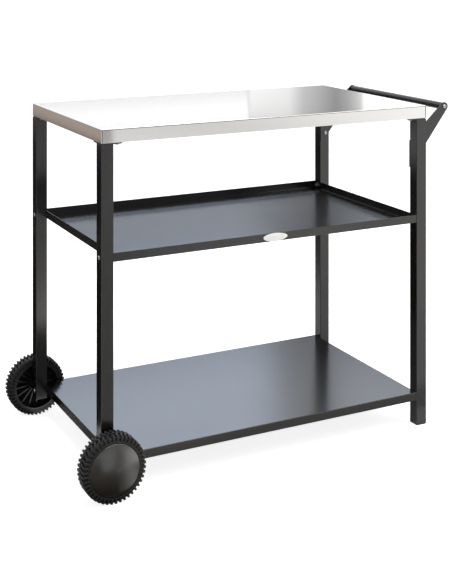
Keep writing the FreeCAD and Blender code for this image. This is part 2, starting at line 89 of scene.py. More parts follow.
def colour_property(name, hex_colour, description):
    return FloatVectorProperty(name=name, description=description, default=linear(hex_colour), size=3,
                               subtype="COLOR", min=0.0, max=1.0)


def length_property(name, millimetres, description):
    return FloatProperty(name=name, description=description, default=millimetres * MM, min=0.0,
                         subtype="DISTANCE", unit="LENGTH")


class OvenTableSizes(bpy.types.PropertyGroup):
    """Sizes of what is modelled here. The frame settles all the others."""
    lip: length_property("Worktop lip", 20.0, "Width of the worktop's lip, turned in under its skirt")
    sheet: length_property("Worktop sheet", 1.0, "Thickness of the worktop's stainless sheet")
    bend: length_property("Worktop bend", 1.5, "Outside radius of the worktop's folds")
    seam: length_property("Corner seam", 1.5, "Width of the seam beside each corner of the worktop")
    seam_depth: length_property("Seam depth", 0.6, "Depth of the worktop's seams and creases")
    crease: length_property("Crease", 1.2, "Height of the crease under the worktop's rolled edge")
    seam_inset: length_property("Seam inset", 1.5, "Distance of a seam from its corner")
    brushing: length_property("Brush lines", 0.8, "Spacing of the worktop's brush lines")
    grain: length_property("Coating grain", 0.9, "Size of the dimples in the powder coat")
    lugs: IntProperty(name="Lugs", description="Lugs in each of a tyre's rows", default=44, min=8, max=80)
    lug_width: length_property("Lug width", 5.6, "Width of a lug at its foot")
    lug_slant: length_property("Lug slant", 3.6, "How far round a lug leans on its way to the shoulder")
    tyre_seat: length_property("Tyre seat", 60.0, "Radius at which the tyre sits on its wheel")
    tyre_ring: length_property("Tyre ring", 63.5, "Radius of the smooth ring beside the seat")
    tyre_tread: length_property("Tyre tread", 72.3, "Radius of the tyre between its lugs")
    cap_radius: length_property("Hub cap", 58.5, "Radius of a hub cap")
    cap_rise: length_property("Hub cap dome", 6.6, "How far a hub cap's dome rises above its rim")
    cap_wall: length_property("Hub cap wall", 2.0, "Thickness of a hub cap")


class OvenTableColours(bpy.types.PropertyGroup):
    """Colours of the table's finishes."""
    stainless: colour_property("Stainless", "CBC9C7", "Brushed stainless sheet")
    coat: colour_property("Powder coat", "0D0D0C", "Black powder coat on the steelwork")
    tyre: colour_property("Tyre", "1E1D1C", "Moulded tyres")
    hub: colour_property("Wheel", "0B0B0B", "Moulded wheel centres")
    cap: colour_property("Hub cap", "121110", "Hub caps")
    zinc: colour_property("Zinc", "B4B6B7", "Zinc plating on the fasteners")
    nylon: colour_property("Nylon", "181818", "Feet, plugs and bushes")
    badge: colour_property("Badge", "F7F7F5", "Bare oval badge")


def sizes():
    return bpy.context.scene.oven_table_sizes


def colours():
    return bpy.context.scene.oven_table_colours


def add_node(tree, kind, inputs=None, **settings):
    """Adds a node with its settings. An input is another node's output, to be linked, or a value."""
    node = tree.nodes.new(kind)
    for name, value in settings.items():
        setattr(node, name, value)
    for name, value in (inputs or {}).items():
        if isinstance(value, bpy.types.NodeSocket):
            tree.links.new(value, node.inputs[name])
        else:
            node.inputs[name].default_value = value
    return node


def new_material(name, colour, **shader_inputs):
    """A material with one shader, whose constant inputs are set on that shader's own sockets."""
    material = bpy.data.materials.new(name)
    material.use_nodes = True
    tree = material.node_tree
    tree.nodes.clear()
    inputs = {"Base Color": (*colour, 1.0)}
    for key, value in shader_inputs.items():
        inputs[key.replace("_", " ").title().replace("Ior", "IOR")] = value
    shader = add_node(tree, "ShaderNodeBsdfPrincipled", inputs)
    add_node(tree, "ShaderNodeOutputMaterial", {"Surface": shader.outputs["BSDF"]})
    return material, tree, shader


def per_metre(millimetres):
    """The scale at which a texture's features are this far apart."""
    return 1.0 / (millimetres * MM)


def noise_field(tree, coordinates, spacing_mm, detail=2.0, stretch=(1.0, 1.0, 1.0), roughness=0.5):
    """Noise with features this far apart along each axis, and longer where stretch is under 1."""
    mapped = add_node(tree, "ShaderNodeMapping", {"Vector": coordinates, "Scale": stretch})
    noise = add_node(tree, "ShaderNodeTexNoise", {"Vector": mapped.outputs["Vector"], "Detail": detail,
                                                   "Scale": per_metre(spacing_mm), "Roughness": roughness})
    return noise.outputs["Fac"]


def spread(tree, value, low, high):
    """Stretches a 0 to 1 field between two values."""
    stretched = add_node(tree, "ShaderNodeMapRange", {"Value": value, "To Min": low, "To Max": high})
    return stretched.outputs["Result"]


def bumped(tree, shader, height, depth_mm):
    """Gives the shader the relief of a height field, this deep."""
    bump = add_node(tree, "ShaderNodeBump", {"Height": height, "Distance": depth_mm * MM, "Strength": 1.0})
    tree.links.new(bump.outputs["Normal"], shader.inputs["Normal"])


def object_coordinates(tree):
    """A piece's own coordinates, in metres."""
    return add_node(tree, "ShaderNodeTexCoord").outputs["Object"]


def tinted(tree, shader, field, dark, light):
    """Varies the base colour a little with a field, between two shares of itself, and returns it."""
    base = shader.inputs["Base Color"].default_value[:]
    ends = [tuple(c * share for c in base[:3]) + (1.0,) for share in (dark, light)]
    mix = add_node(tree, "ShaderNodeMix", {0: field, 6: ends[0], 7: ends[1]}, data_type="RGBA")
    tree.links.new(mix.outputs[2], shader.inputs["Base Color"])
    return mix.outputs[2]


def paint_shade(tree, shader, base, attribute, hex_colour):
    """Paints shade into the base colour: takes it down to a darker one as far as an attribute of the mesh
    says.
    """
    shade = add_node(tree, "ShaderNodeAttribute", attribute_name=attribute).outputs["Fac"]
    mix = add_node(tree, "ShaderNodeMix", {0: shade, 6: base, 7: (*linear(hex_colour), 1.0)},
                   data_type="RGBA")
    tree.links.new(mix.outputs[2], shader.inputs["Base Color"])


def brushed_stainless():
    """Brushed stainless sheet, drawn through belts along its length.

    The lines blur what it mirrors across them, not along them, so tall things show as upright bands.
    """
    material, tree, shader = new_material("brushed_stainless_sheet", colours().stainless, metallic=1.0,
                                          anisotropic=0.9)
    drawn = add_node(tree, "ShaderNodeUVMap", uv_map="brushing").outputs["UV"]
    lines = noise_field(tree, drawn, sizes().brushing / MM, 4.0, (0.004, 1.0, 1.0), 0.7)
    tree.links.new(spread(tree, lines, 0.05, 0.1), shader.inputs["Roughness"])
    # Painted shade: the base colour goes near black in the sunk seams and creases, where shadow falls
    paint_shade(tree, shader, tinted(tree, shader, lines, 0.97, 1.0), "seam_shade", "1C1A18")
    tangent = add_node(tree, "ShaderNodeTangent", direction_type="UV_MAP", uv_map="brushing")
    tree.links.new(tangent.outputs["Tangent"], shader.inputs["Tangent"])
    shader.inputs["Anisotropic Rotation"].default_value = 0.25
    return material


def powder_coat():
    """Black polyester powder coat on steel: satin, with the faint dimples of orange peel."""
    material, tree, shader = new_material("black_powder_coat", colours().coat, ior=1.6)
    coordinates = object_coordinates(tree)
    grain = noise_field(tree, coordinates, sizes().grain / MM, detail=3.0)
    clouds = noise_field(tree, coordinates, 60.0)
    tree.links.new(spread(tree, clouds, 0.17, 0.2), shader.inputs["Roughness"])
    tinted(tree, shader, clouds, 0.94, 1.06)
    bumped(tree, shader, grain, 0.002)
    return material


def tyre_compound():
    """Solid moulded tyre: a matte skin, with painted shade that takes it near black between the lugs."""
    material, tree, shader = new_material("moulded_tyre_compound", colours().tyre, ior=1.5,
                                          specular_ior_level=0.34)
    coordinates = object_coordinates(tree)
    dust = noise_field(tree, coordinates, 9.0, detail=4.0)
    pores = noise_field(tree, coordinates, 0.7, detail=2.0)
    tree.links.new(spread(tree, dust, 0.42, 0.6), shader.inputs["Roughness"])
    # Painted shade: the base colour goes near black towards the lugs' feet and on the skin between them
    paint_shade(tree, shader, tinted(tree, shader, dust, 0.85, 1.2), "groove_shade", "050505")
    bumped(tree, shader, pores, 0.03)
    return material


# How far outside the leg the ribs' edges stand
RIB_EDGE = 25.0 * MM


def wheel_polypropylene():
    """Injection-moulded polypropylene: the ribs' edges are sleek and the web behind them is dull."""
    material, tree, shader = new_material("moulded_polypropylene", colours().hub, ior=1.49)
    coordinates = object_coordinates(tree)
    across = add_node(tree, "ShaderNodeSeparateXYZ", {"Vector": coordinates}).outputs["Y"]
    depth = add_node(tree, "ShaderNodeMath", {0: across}, operation="ABSOLUTE").outputs[0]
    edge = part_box("leg_back_left")[1].y + RIB_EDGE
    dull = add_node(tree, "ShaderNodeMapRange", {"Value": depth, "From Min": edge, "From Max": edge + MM,
                                                 "To Min": 0.25, "To Max": 0.75})
    tree.links.new(dull.outputs["Result"], shader.inputs["Roughness"])
    texture = noise_field(tree, coordinates, 0.6, detail=3.0)
    tinted(tree, shader, texture, 0.9, 1.1)
    bumped(tree, shader, texture, 0.015)
    return material


def cap_abs():
    """Moulded ABS hub cap under a satin lacquer, so that it mirrors the floor softly."""
    material, tree, shader = new_material("lacquered_abs_cap", colours().cap, ior=1.53, coat_weight=1.0,
                                          coat_roughness=0.2)
    coordinates = object_coordinates(tree)
    flow = noise_field(tree, coordinates, 35.0)
    tree.links.new(spread(tree, flow, 0.24, 0.28), shader.inputs["Roughness"])
    bumped(tree, shader, noise_field(tree, coordinates, 0.5, detail=2.0), 0.004)
    return material


def zinc_plate():
    """Bright zinc plating on the fasteners, a little cloudy."""
    material, tree, shader = new_material("bright_zinc_plate", colours().zinc, metallic=1.0)
    clouds = noise_field(tree, object_coordinates(tree), 1.6, detail=3.0)
    tree.links.new(spread(tree, clouds, 0.12, 0.2), shader.inputs["Roughness"])
    tinted(tree, shader, clouds, 0.86, 1.05)
    return material


def moulded_nylon():
    """Moulded black nylon, matte where it is handled."""
    material, tree, shader = new_material("moulded_black_nylon", colours().nylon, ior=1.53, roughness=0.48)
    texture = noise_field(tree, object_coordinates(tree), 0.8, detail=2.0)
    tinted(tree, shader, texture, 0.9, 1.12)
    bumped(tree, shader, texture, 0.01)
    return material


def badge_enamel():
    """White enamel on the bare badge, glossy and level with a faint ripple."""
    material, tree, shader = new_material("white_badge_enamel", colours().badge, ior=1.5, roughness=0.22)
    bumped(tree, shader, noise_field(tree, object_coordinates(tree), 6.0), 0.01)
    return material


MATERIAL_MAKERS = {"stainless": brushed_stainless, "black_coat": powder_coat, "tyre": tyre_compound,
                   "wheel_plastic": wheel_polypropylene, "cap": cap_abs, "zinc": zinc_plate,
                   "nylon": moulded_nylon, "white_badge": badge_enamel}
made_materials = {}


def material_for(slot):
    """The finish for one of the record's material slots, made the first time it is asked for."""
    if slot not in made_materials:
        made_materials[slot] = MATERIAL_MAKERS[slot]()
    return made_materials[slot]


def slot_of(node):
    """The record's material slot for a node."""
    return next(part["material_slot"] for part in frame["record"]["subparts"] if part["node"] == node)


def body_of(node):
    """The frame's body that a node moves with."""
    return NODES[node]["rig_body"]


def dress(*nodes):
    """Gives CAD nodes their finish."""
    for name in nodes:
        mesh = NODES[name].data
        mesh.materials.clear()
        mesh.materials.append(material_for(slot_of(name)))


def finished_piece(name, bm, node, smooth_angle=35.0):
    """Turns a mesh into a piece that stands for a node: it takes the node's place, body and finish."""
    if not bm.faces:
        raise RuntimeError(name + " came out with no faces")
    for face in bm.faces:
        face.smooth = True
    for edge in bm.edges:
        edge.smooth = len(edge.link_faces) == 2 and edge.calc_face_angle(0.0) < math.radians(smooth_angle)
    mesh = bpy.data.meshes.new(name)
    bm.to_mesh(mesh)
    bm.free()
    piece = bpy.data.objects.new(name, mesh)
    bpy.context.scene.collection.objects.link(piece)
    mesh.materials.append(material_for(slot_of(node)))
    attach(piece, body_of(node))
    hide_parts(node)
    return piece


def cube_between(bm, low, high):
    """A box in a mesh, between two corners."""
    spot = Matrix.Translation((low + high) / 2) @ Matrix.Diagonal((*(high - low), 1))
    bmesh.ops.create_cube(bm, size=1.0, matrix=spot)


def cut_across(bm, place, direction):
    """Cuts every face of a mesh along a plane and keeps both sides."""
    bmesh.ops.bisect_plane(bm, geom=bm.verts[:] + bm.edges[:] + bm.faces[:], dist=1e-7, plane_co=place,
                           plane_no=direction)


def tidy_normals(bm):
    """Closes doubled points and turns every face outward."""
    bmesh.ops.remove_doubles(bm, verts=bm.verts, dist=1e-6)
    bmesh.ops.recalc_face_normals(bm, faces=bm.faces)


# The creases on the worktop's two ends get this share of the painted shade that darkens its seams and
# creases
END_CREASE_SHADE = 0.5
# What lies within this share of the bend from an end belongs to that end
END_SHARE = 0.9


def worktop_mesh():
    """The stainless pan: folded skirt with a seam by each corner, and a lip turned in below."""
    low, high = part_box("worktop")
    size = sizes()
    bm = bmesh.new()
    cube_between(bm, low, high)
    underside = [face for face in bm.faces if face.normal.z < -0.99]
    folds = [edge for edge in bm.edges if any(v.co.z > high.z - 1e-6 for v in edge.verts)]
    bmesh.ops.inset_region(bm, faces=underside, thickness=size.lip, use_even_offset=True)
    bmesh.ops.delete(bm, geom=underside, context="FACES")
    bmesh.ops.bevel(bm, geom=folds, offset=size.bend, offset_type="OFFSET", segments=4, profile=0.5,
                    material=-1, affect="EDGES", clamp_overlap=True)
    tidy_normals(bm)
    bmesh.ops.solidify(bm, geom=bm.faces[:], thickness=size.sheet)
    crease = high.z - size.bend
    for height in (crease, crease - size.crease):
        cut_across(bm, Z_AXIS * height, Z_AXIS)
    for end, inward in ((low.x, 1), (high.x, -1)):
        for inset in (size.seam_inset, size.seam_inset + size.seam):
            cut_across(bm, Vector((end + inward * inset, 0, 0)), X_AXIS)
    middle = (low + high) / 2
    lines = []
    for face in bm.faces:
        place = face.calc_center_median()
        skin = abs(face.normal.z) < 0.01 and face.normal.dot(place - middle) > 0 and place.z < crease
        inset = min(place.x - low.x, high.x - place.x)
        by_corner = abs(face.normal.y) > 0.99 and size.seam_inset < inset < size.seam_inset + size.seam
        if skin and (place.z > crease - size.crease or by_corner):
            lines.append(face)
    if not lines:
        raise RuntimeError("the worktop came out without its seams and creases")
    # The sunk seams and creases get painted shade, full on the front and back and weaker on the two ends
    shade = bm.verts.layers.float.new("seam_shade")
    sunk = bmesh.ops.extrude_face_region(bm, geom=lines)["geom"]
    bmesh.ops.delete(bm, geom=lines, context="FACES")
    for vert in [item for item in sunk if isinstance(item, bmesh.types.BMVert)]:
        for axis in (0, 1):
            for wall, inward in ((low[axis], 1), (high[axis], -1)):
                depth = 1 - abs(vert.co[axis] - wall) / size.bend
                vert.co[axis] += inward * size.seam_depth * max(0.0, depth)
        by_end = min(vert.co.x - low.x, high.x - vert.co.x) < size.bend * END_SHARE
        vert[shade] = END_CREASE_SHADE if by_end else 1.0
    bmesh.ops.recalc_face_normals(bm, faces=bm.faces)
    return bm


def map_brushing(bm):
    """Lays a map with U along the brush lines, which run along the top and down its two ends."""
    layer = bm.loops.layers.uv.new("brushing")
    for face in bm.faces:
        facing = [abs(part) for part in face.normal]
        for loop in face.loops:
            place = loop.vert.co
            if facing[0] == max(facing):
                loop[layer].uv = (place.z, place.y)
            elif facing[1] == max(facing):
                loop[layer].uv = (place.x, place.z)
            else:
                loop[layer].uv = (place.x, place.y)


def axle_frame(side):
    """Puts a shape made on the Z axis, outward up and the leg's face at 0, on a wheel's axle."""
    low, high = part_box("tyre_" + side)
    centre = (low + high) / 2
    outward = -1 if side == "front" else 1
    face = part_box("leg_%s_left" % side)[0 if side == "front" else 1].y
    return Matrix(((1, 0, 0, centre.x), (0, 0, outward, face), (0, 1, 0, centre.z), (0, 0, 0, 1)))


def arc(centre, radius, start, end, steps):
    """Points of radius and height along an arc, between two angles in degrees from straight out."""
    points = []
    for step in range(steps + 1):
        angle = math.radians(start + (end - start) * step / steps)
        points.append((centre[0] + radius * math.cos(angle), centre[1] + radius * math.sin(angle)))
    return points


def spun(bm, outline, steps, closed):
    """Turns an outline of radius and height points once round the Z axis."""
    verts = [bm.verts.new((radius, 0, height)) for radius, height in outline]
    pairs = list(zip(verts, verts[1:] + verts[:1] if closed else verts[1:]))
    edges = [bm.edges.new(pair) for pair in pairs]
    bmesh.ops.spin(bm, geom=verts + edges, cent=(0, 0, 0), axis=Z_AXIS, angle=math.tau, steps=steps,
                   use_merge=True)


def point_along(points, share):
    """The point this share of the way along a line of points."""
    lengths = [math.dist(a, b) for a, b in zip(points, points[1:])]
    left = share * sum(lengths)
    for length, a, b in zip(lengths, points, points[1:]):
        if left <= length + 1e-12:
            return [p + (q - p) * left / length for p, q in zip(a, b)]
        left -= length
    return points[-1]


# How far a lug stands out of the sidewall, and how far its foot sinks into the skin
LUG_SIDE = 3.0 * MM
LUG_SINK = 0.5 * MM
# How much the tyre's skin and the lugs' crests are rounded where they turn the shoulder
SHOULDER = 4.0 * MM
CREST_SHOULDER = 4.5 * MM
# A lug starts as a block of this length, cut into this many parts so that it can bend
LUG_LENGTH = 28.0 * MM
LUG_CUTS = 8
# Its top edges are taken off by this much
LUG_ROUNDING = 0.7 * MM
# A lug's crest is narrower than its foot by this share, and it leans until this far from the middle
LUG_TAPER = 0.12
LEAN_END = 12.0 * MM
# The smooth ring's foot is this much wider than its edge
RING_STEP = 1.2 * MM


def tyre_lines(half, crown):
    """Half a tyre from the middle of its tread to its ring: the line of its skin and of its crests."""
    size = sizes()
    side = half - LUG_SIDE
    skin = [(size.tyre_tread, 0.0),
            *arc((size.tyre_tread - SHOULDER, side - SHOULDER), SHOULDER, 0, 90, 5),
            (size.tyre_ring + RING_STEP, side)]
    crest = [(crown, 0.0),
             *arc((crown - CREST_SHOULDER, half - CREST_SHOULDER), CREST_SHOULDER, 0, 90, 5),
             (size.tyre_ring, half)]
    return skin, crest


def add_lug(bm, skin, crest):
    """A rounded block bent over the tread and down the sidewall, leaning as it goes."""
    size = sizes()
    height = crest[0][0] - skin[0][0]
    low = Vector((0, -size.lug_width / 2, -LUG_SINK))
    high = Vector((LUG_LENGTH, size.lug_width / 2, height))
    groove = bm.verts.layers.float.new("groove_shade")
    cube_between(bm, low, high)
    top = [edge for edge in bm.edges if all(v.co.z > 0 for v in edge.verts)]
    bmesh.ops.bevel(bm, geom=top, offset=LUG_ROUNDING, offset_type="OFFSET", segments=1, profile=0.5,
                    material=-1, affect="EDGES", clamp_overlap=True)
    for cut in range(1, LUG_CUTS):
        cut_across(bm, X_AXIS * (LUG_LENGTH * cut / LUG_CUTS), X_AXIS)
    for vert in bm.verts:
        share = vert.co.x / LUG_LENGTH
        rise = vert.co.z / height
        foot, head = point_along(skin, share), point_along(crest, share)
        spot = [f + (t - f) * rise for f, t in zip(foot, head)]
        lean = size.lug_slant * min(1.0, spot[1] / LEAN_END)
        turn = (vert.co.y * (1 - LUG_TAPER * rise) + lean) / crest[0][0]
        # Painted shade, full at a lug's foot and fading to none on its crest
        vert[groove] = min(1.0, 1 - rise)
        vert.co = (spot[0] * math.cos(turn), spot[0] * math.sin(turn), spot[1])


def tyre_mesh(side):
    """A solid tyre with two staggered rows of bent lugs over its tread and down its shoulders."""
    size = sizes()
    low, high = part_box("tyre_" + side)
    half = (high.y - low.y) / 2
    skin, crest = tyre_lines(half, (high.z - low.z) / 2)
    pitch = math.tau / size.lugs
    bm = bmesh.new()
    add_lug(bm, skin, crest)
    bmesh.ops.spin(bm, geom=bm.verts[:] + bm.edges[:] + bm.faces[:], cent=(0, 0, 0), axis=Z_AXIS,
                   angle=math.tau - pitch, steps=size.lugs - 1, use_duplicate=True)
    copied = bmesh.ops.duplicate(bm, geom=bm.verts[:] + bm.edges[:] + bm.faces[:])["geom"]
    second_row = [item for item in copied if isinstance(item, bmesh.types.BMVert)]
    flip = Matrix.Rotation(pitch / 2, 4, "Z") @ Matrix.Scale(-1, 4, Z_AXIS)
    bmesh.ops.transform(bm, verts=second_row, matrix=flip)
    outer = skin + [(size.tyre_ring, half), (size.tyre_seat, half)]
    lug_verts = set(bm.verts)
    inner = [(radius, -height) for radius, height in reversed(outer[1:])]
    spun(bm, inner + outer[1:], 2 * size.lugs, True)
    groove = bm.verts.layers.float["groove_shade"]
    # The skin between the lugs gets full painted shade, and the smooth ring and seat get none
    for vert in set(bm.verts) - lug_verts:
        vert[groove] = 0.0 if abs(vert.co.z) > half - LUG_SIDE / 2 else 1.0
    middle = abs((low.y + high.y) / 2 - axle_frame(side).translation.y)
    bmesh.ops.transform(bm, verts=bm.verts, matrix=axle_frame(side) @ Matrix.Translation((0, 0, middle)))
    tidy_normals(bm)
    return bm


# A hub cap's edge is rounded this much, and its outline is turned in this many steps
CAP_ROUNDING = 1.2 * MM
CAP_STEPS = 128


def hub_cap_mesh(side):
    """A plain domed cap with a rounded rim, hollow behind."""
    size = sizes()
    low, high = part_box("hub_cap_" + side)
    deep = high.y - low.y
    foot = abs((high.y if side == "front" else low.y) - axle_frame(side).translation.y)
    ball = (size.cap_radius ** 2 + size.cap_rise ** 2) / (2 * size.cap_rise)
    centre = foot + deep - ball
    rim_radius = size.cap_radius - CAP_ROUNDING
    rim_height = centre + math.sqrt((ball - CAP_ROUNDING) ** 2 - rim_radius ** 2)
    slope = math.degrees(math.atan2(rim_height - centre, rim_radius))
    inner = size.cap_radius - size.cap_wall
    inner_slope = math.degrees(math.acos(inner / (ball - size.cap_wall)))
    outline = [*arc((0, centre), ball, 90, slope, 14),
               *arc((rim_radius, rim_height), CAP_ROUNDING, slope, 0, 5)[1:],
               (size.cap_radius, foot), (inner, foot),
               *arc((0, centre), ball - size.cap_wall, inner_slope, 90, 8)]
    bm = bmesh.new()
    spun(bm, outline, CAP_STEPS, False)
    bmesh.ops.transform(bm, verts=bm.verts, matrix=axle_frame(side))
    tidy_normals(bm)
    return bm


# The badge's edge is rounded over this share of its thickness
BADGE_ROUNDING = 0.6


def badge_mesh():
    """A bare oval plate with a rounded edge and a flat face."""
    low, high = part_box("badge_plate")
    span = high - low
    bm = bmesh.new()
    bmesh.ops.create_cone(bm, cap_ends=True, segments=96, radius1=0.5, radius2=0.5, depth=1.0)
    to_wall = Matrix.Translation((low + high) / 2) @ Matrix.Diagonal((*span, 1)) @ Matrix.Rotation(
        math.radians(90), 4, "X")
    bmesh.ops.transform(bm, verts=bm.verts, matrix=to_wall)
    bmesh.ops.recalc_face_normals(bm, faces=bm.faces)
    rim = [edge for edge in bm.edges if all(v.co.y < low.y + 1e-7 for v in edge.verts)]
    rounding = span.y * BADGE_ROUNDING
    bmesh.ops.bevel(bm, geom=rim, offset=rounding, offset_type="OFFSET", segments=4, profile=0.5,
                    material=-1, affect="EDGES", clamp_overlap=True)
    return bm


class OVEN_TABLE_OT_worktop(bpy.types.Operator):
    """Build the brushed stainless worktop and dress what holds it"""
    bl_idname = "oven_table.worktop"
    bl_label = "Worktop"

    def execute(self, context):
        bm = worktop_mesh()
        map_brushing(bm)
        pan = finished_piece("worktop_pan", bm, "worktop")
        # Without this the big flat faces are shaded as if they were bowed towards their folds
        pan.modifiers.new("flat_sheet", "WEIGHTED_NORMAL").keep_sharp = True
        stiffeners = [name for name in NODES if name.startswith("worktop_stiffener")]
        dress(*stiffeners, "worktop_screws", "worktop_rivet_nuts")
        return {"FINISHED"}


class OVEN_TABLE_OT_steelwork(bpy.types.Operator):
    """Dress the legs, plates, tray, shelf, plugs and feet"""
    bl_idname = "oven_table.steelwork"
    bl_label = "Legs, tray and shelf"

    def execute(self, context):
        dress(*[name for name in NODES if name.startswith(("leg_", "foot_"))])
        dress("mid_tray", "tray_wall_front", "tray_wall_back", "lower_shelf")
        dress("tray_screws", "tray_lock_nuts", "shelf_screws", "shelf_lock_nuts")
        return {"FINISHED"}


class OVEN_TABLE_OT_handle(bpy.types.Operator):
    """Dress the push handle's arms, bar and fasteners"""
    bl_idname = "oven_table.handle"
    bl_label = "Push handle"

    def execute(self, context):
        dress(*[name for name in NODES if name.startswith(("handle_", "arm_", "bar_"))])
        return {"FINISHED"}


class OVEN_TABLE_OT_badge(bpy.types.Operator):
    """Build the bare oval badge on the tray's front wall"""
    bl_idname = "oven_table.badge"
    bl_label = "Badge"

    def execute(self, context):
        finished_piece("oval_badge", badge_mesh(), "badge_plate")
        return {"FINISHED"}


class OVEN_TABLE_OT_wheels(bpy.types.Operator):
    """Build the lugged tyres and domed caps, and dress the rest of the wheels"""
    bl_idname = "oven_table.wheels"
    bl_label = "Wheels"

    def execute(self, context):
        for side in SIDES:
            finished_piece("lugged_tyre_" + side, tyre_mesh(side), "tyre_" + side)
            finished_piece("domed_cap_" + side, hub_cap_mesh(side), "hub_cap_" + side)
            dress("wheel_hub_" + side, "wheel_bush_" + side)
            dress(*[name for name in NODES if name.startswith("axle_") and name.endswith(side)])
        return {"FINISHED"}


# The photograph's frame, and its focal length, principal point and horizon, all in pixels
PHOTO_WIDTH = 452
PHOTO_HEIGHT = 584
FOCAL_PIXELS = 1156.08
PRINCIPAL_X = 213.9
HORIZON_Y = -50.65
# How far the camera is turned from straight back towards the right, and where it stands in metres
VIEW_TURN = math.radians(26.636)
EYE = Vector((-1.40396, -2.6852, 1.23106))
# The width of the camera's sensor in millimetres
SENSOR = 36.0


def place_camera():
    """The photograph's camera. It looks down, and the mount under it keeps upright lines parallel."""
    tilt = math.atan2(PHOTO_HEIGHT / 2 - HORIZON_Y, FOCAL_PIXELS)
    ahead = Vector((math.sin(VIEW_TURN), math.cos(VIEW_TURN), 0))
    right = Vector((math.cos(VIEW_TURN), -math.sin(VIEW_TURN), 0))
    back = Z_AXIS * math.sin(tilt) - ahead * math.cos(tilt)
    mount = bpy.data.objects.new("camera_mount", None)
    camera = bpy.data.objects.new("camera", bpy.data.cameras.new("camera"))
    for piece in (mount, camera):
        bpy.context.scene.collection.objects.link(piece)
    camera.parent = mount
    camera.matrix_parent_inverse = Matrix([(*row, eye) for row, eye in zip(zip(right, Z_AXIS, back), EYE)]
                                          + [(0, 0, 0, 1)])
    camera.data.sensor_fit = "AUTO"
    camera.data.sensor_width = SENSOR
    camera.data.lens = FOCAL_PIXELS / math.cos(tilt) * SENSOR / PHOTO_HEIGHT
    camera.data.shift_x = (PHOTO_WIDTH / 2 - PRINCIPAL_X) / PHOTO_HEIGHT
    bpy.context.scene.camera = camera


def lamp(name, place, target, width, height, power, hex_colour="FFFFFF"):
    """A soft rectangular lamp that isn't itself seen."""
    light = bpy.data.lights.new(name, "AREA")
    light.shape = "RECTANGLE"
    light.size = width
    light.size_y = height
    light.energy = power
    light.color = linear(hex_colour)
    piece = bpy.data.objects.new(name, light)
    bpy.context.scene.collection.objects.link(piece)
    piece.location = place
    piece.rotation_euler = (Vector(target) - Vector(place)).to_track_quat("-Z", "Y").to_euler()
    piece.visible_camera = False
    return piece


def glow_material(name, colour, strength=1.0):
    """A material that shines, for what is only seen in reflections. Its colour may fade along a card."""
    material = bpy.data.materials.new(name)
    material.use_nodes = True
    tree = material.node_tree
    tree.nodes.clear()
    glow = add_node(tree, "ShaderNodeEmission", {"Strength": strength})
    if isinstance(colour, str):
        glow.inputs["Color"].default_value = (*linear(colour), 1.0)
    else:
        place = add_node(tree, "ShaderNodeUVMap", uv_map="span").outputs["UV"]
        ramp = add_node(tree, "ShaderNodeValToRGB", {"Fac": add_node(
            tree, "ShaderNodeSeparateXYZ", {"Vector": place}).outputs["X"]})
        stops = ramp.color_ramp.elements
        stops.remove(stops[0])
        stops[0].position, stops[0].color = colour[0][0], (*linear(colour[0][1]), 1.0)
        for position, hex_colour in colour[1:]:
            stops.new(position).color = (*linear(hex_colour), 1.0)
        tree.links.new(ramp.outputs["Color"], glow.inputs["Color"])
    add_node(tree, "ShaderNodeOutputMaterial", {"Surface": glow.outputs["Emission"]})
    return material


# The far wall's shaded stretch, from its left to its right
FAR_BAND = ((0.0, "FFFFFF"), (0.35, "F4F4F4"), (0.48, "C8C8C8"), (0.6, "B8B8B8"), (0.76, "969696"),
            (0.86, "ACACAC"), (0.94, "C8C8C8"), (1.0, "E8E8E8"))
# The blue wall over it, from its left to its right
BLUE_BAND = ((0.0, "525D6D"), (0.06, "4C5666"), (0.11, "475060"), (0.16, "4C5666"), (0.2, "535E6E"),
             (0.24, "5A6576"))
# The floor in front of the table, from its left to its right: farther out, and near the legs
FAR_FLOOR = ((0.0, "DCDCDC"), (0.33, "CECECE"), (0.5, "E8E8E8"), (0.74, "FFFFFF"))
NEAR_FLOOR = ((0.0, "DCDAD5"), (0.33, "D0CECA"), (0.5, "E6E5E2"), (0.74, "F4F4F2"))
# The floor by the near wheel: painted shadow from the wheel out, and painted light to its right from the
# left
WHEEL_SHADE = ((0.0, "453E38"), (0.29, "6A6159"), (0.51, "82796F"), (1.0, "A0978F"))
WHEEL_NEAR = ((0.0, "7F7A75"), (0.25, "ACA7A1"), (0.6, "F6F3EF"))
WHEEL_RIGHT = ((0.0, "B5B2AE"), (0.28, "E8E5E1"), (0.45, "FAF7F3"))
# The floor that the near left leg mirrors, from the leg outwards
LEG_FLOOR = ((0.0, "C6C4BE"), (0.25, "BAB8B2"), (0.45, "B0AEA8"))


def card(name, corner, along, up, colour, strength=1.0):
    """A flat studio card that only reflections show. It starts at a corner and spans two edges."""
    bm = bmesh.new()
    bm.loops.layers.uv.new("span")
    bmesh.ops.create_grid(bm, x_segments=1, y_segments=1, size=0.5, calc_uvs=True)
    bmesh.ops.translate(bm, verts=bm.verts, vec=(0.5, 0.5, 0))
    corner, along, up = Vector(corner), Vector(along), Vector(up)
    for vert in bm.verts:
        vert.co = corner + along * vert.co.x + up * vert.co.y
    mesh = bpy.data.meshes.new(name)
    bm.to_mesh(mesh)
    bm.free()
    mesh.materials.append(glow_material(name, colour, strength))
    piece = bpy.data.objects.new(name, mesh)
    bpy.context.scene.collection.objects.link(piece)
    for ray in ("camera", "diffuse", "transmission", "volume_scatter", "shadow"):
        setattr(piece, "visible_" + ray, False)
    return piece


